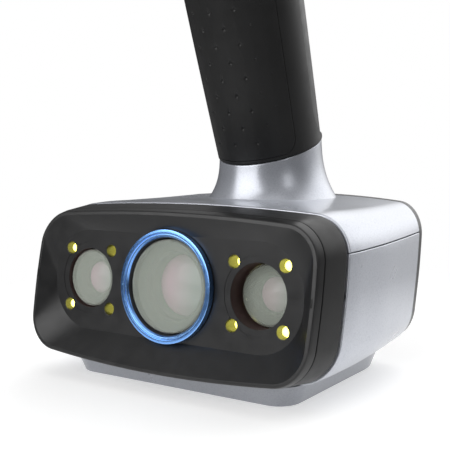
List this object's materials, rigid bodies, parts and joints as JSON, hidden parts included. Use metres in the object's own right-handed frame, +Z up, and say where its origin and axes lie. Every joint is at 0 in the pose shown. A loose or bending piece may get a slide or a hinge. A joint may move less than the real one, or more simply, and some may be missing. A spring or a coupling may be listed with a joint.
{
  "type": "handheld 3d scanner",
  "caption": "Handheld structured-light scanner: a wide head with a central projector, a camera and marker lamps at each side, a flared neck and a leaning round grip.",
  "frame": {"origin": "centre of the foot's flat face, on the surface that the scanner stands on", "axes": "+Z up with the handle on top, -Y the way the lenses look, +X to the right of someone facing the lenses"},
  "size_m": [0.108, 0.0873, 0.2363],
  "materials": {
    "black_plastic": "fine grain, satin",
    "charcoal_plastic": "satin",
    "soft_touch": "soft-touch matt",
    "silver_paint": "metallic paint under clear coat",
    "blue_aluminium": "anodised blue",
    "coated_glass": "anti-reflection coated",
    "led_resin": "clear yellow resin",
    "rubber": "matt",
    "machined_aluminium": "machined",
    "circuit_board": "solder mask green",
    "steel": "nickel plated",
    "gold_contact": "gold plated",
    "gloss_black": "gloss",
    "light_pipe": "frosted clear",
    "cable_jacket": "satin"
  },
  "bodies": {
    "scanner": {"back_panel": "black_plastic", "bezel_frame": "charcoal_plastic", "bezel_gasket": "rubber", "board_connector": "black_plastic", "button_board": "circuit_board", "button_panel": "gloss_black", "cable_socket": "steel", "fan_frame": "black_plastic", "foot_plate": "silver_paint", "foot_screw_1": "steel", "foot_screw_2": "steel", "foot_screw_3": "steel", "foot_screw_4": "steel", "front_panel": "black_plastic", "grip_pad": "soft_touch", "handle_end_cap": "black_plastic", "handle_front_shell": "soft_touch", "handle_rear_cover": "soft_touch", "handle_tube": "machined_aluminium", "heat_sink": "machined_aluminium", "internal_cable": "cable_jacket", "led_left_lower_inner": "led_resin", "led_left_lower_outer": "led_resin", "led_left_upper_inner": "led_resin", "led_left_upper_outer": "led_resin", "led_right_lower_inner": "led_resin", "led_right_lower_outer": "led_resin", "led_right_upper_inner": "led_resin", "led_right_upper_outer": "led_resin", "left_camera_barrel": "black_plastic", "left_camera_board": "circuit_board", "left_camera_lens": "coated_glass", "left_led_board": "circuit_board", "left_window": "coated_glass", "lower_shell": "silver_paint", "main_board": "circuit_board", "minus_switch": "steel", "optical_bench": "machined_aluminium", "plus_switch": "steel", "projector_barrel": "black_plastic", "projector_body": "machined_aluminium", "projector_lens": "coated_glass", "projector_ring": "blue_aluminium", "projector_window": "coated_glass", "right_camera_barrel": "black_plastic", "right_camera_board": "circuit_board", "right_camera_lens": "coated_glass", "right_led_board": "circuit_board", "right_window": "coated_glass", "scan_switch": "steel", "socket_insert": "gold_contact", "status_light": "light_pipe", "tube_collar": "machined_aluminium", "upper_shell": "silver_paint"},
    "minus_button": {"minus_button": "gloss_black"},
    "scan_button": {"scan_button": "gloss_black"},
    "plus_button": {"plus_button": "gloss_black"},
    "fan_rotor": {"fan_rotor": "gloss_black"}
  },
  "joints": [
    {"name": "minus_button_press", "type": "slide", "parent": "scanner", "child": "minus_button", "axis": [0, -0.9636, -0.2672], "range_m": [0, 0.0008], "stiffness_N_per_m": 1200},
    {"name": "scan_button_press", "type": "slide", "parent": "scanner", "child": "scan_button", "axis": [0, -0.9636, -0.2672], "range_m": [0, 0.0008], "stiffness_N_per_m": 1200},
    {"name": "plus_button_press", "type": "slide", "parent": "scanner", "child": "plus_button", "axis": [0, -0.9636, -0.2672], "range_m": [0, 0.0008], "stiffness_N_per_m": 1200},
    {"name": "fan_spin", "type": "hinge", "parent": "scanner", "child": "fan_rotor", "pos_m": [0, 0.0282, 0.0271], "axis": [0, 1, 0], "continuous": true}
  ]
}
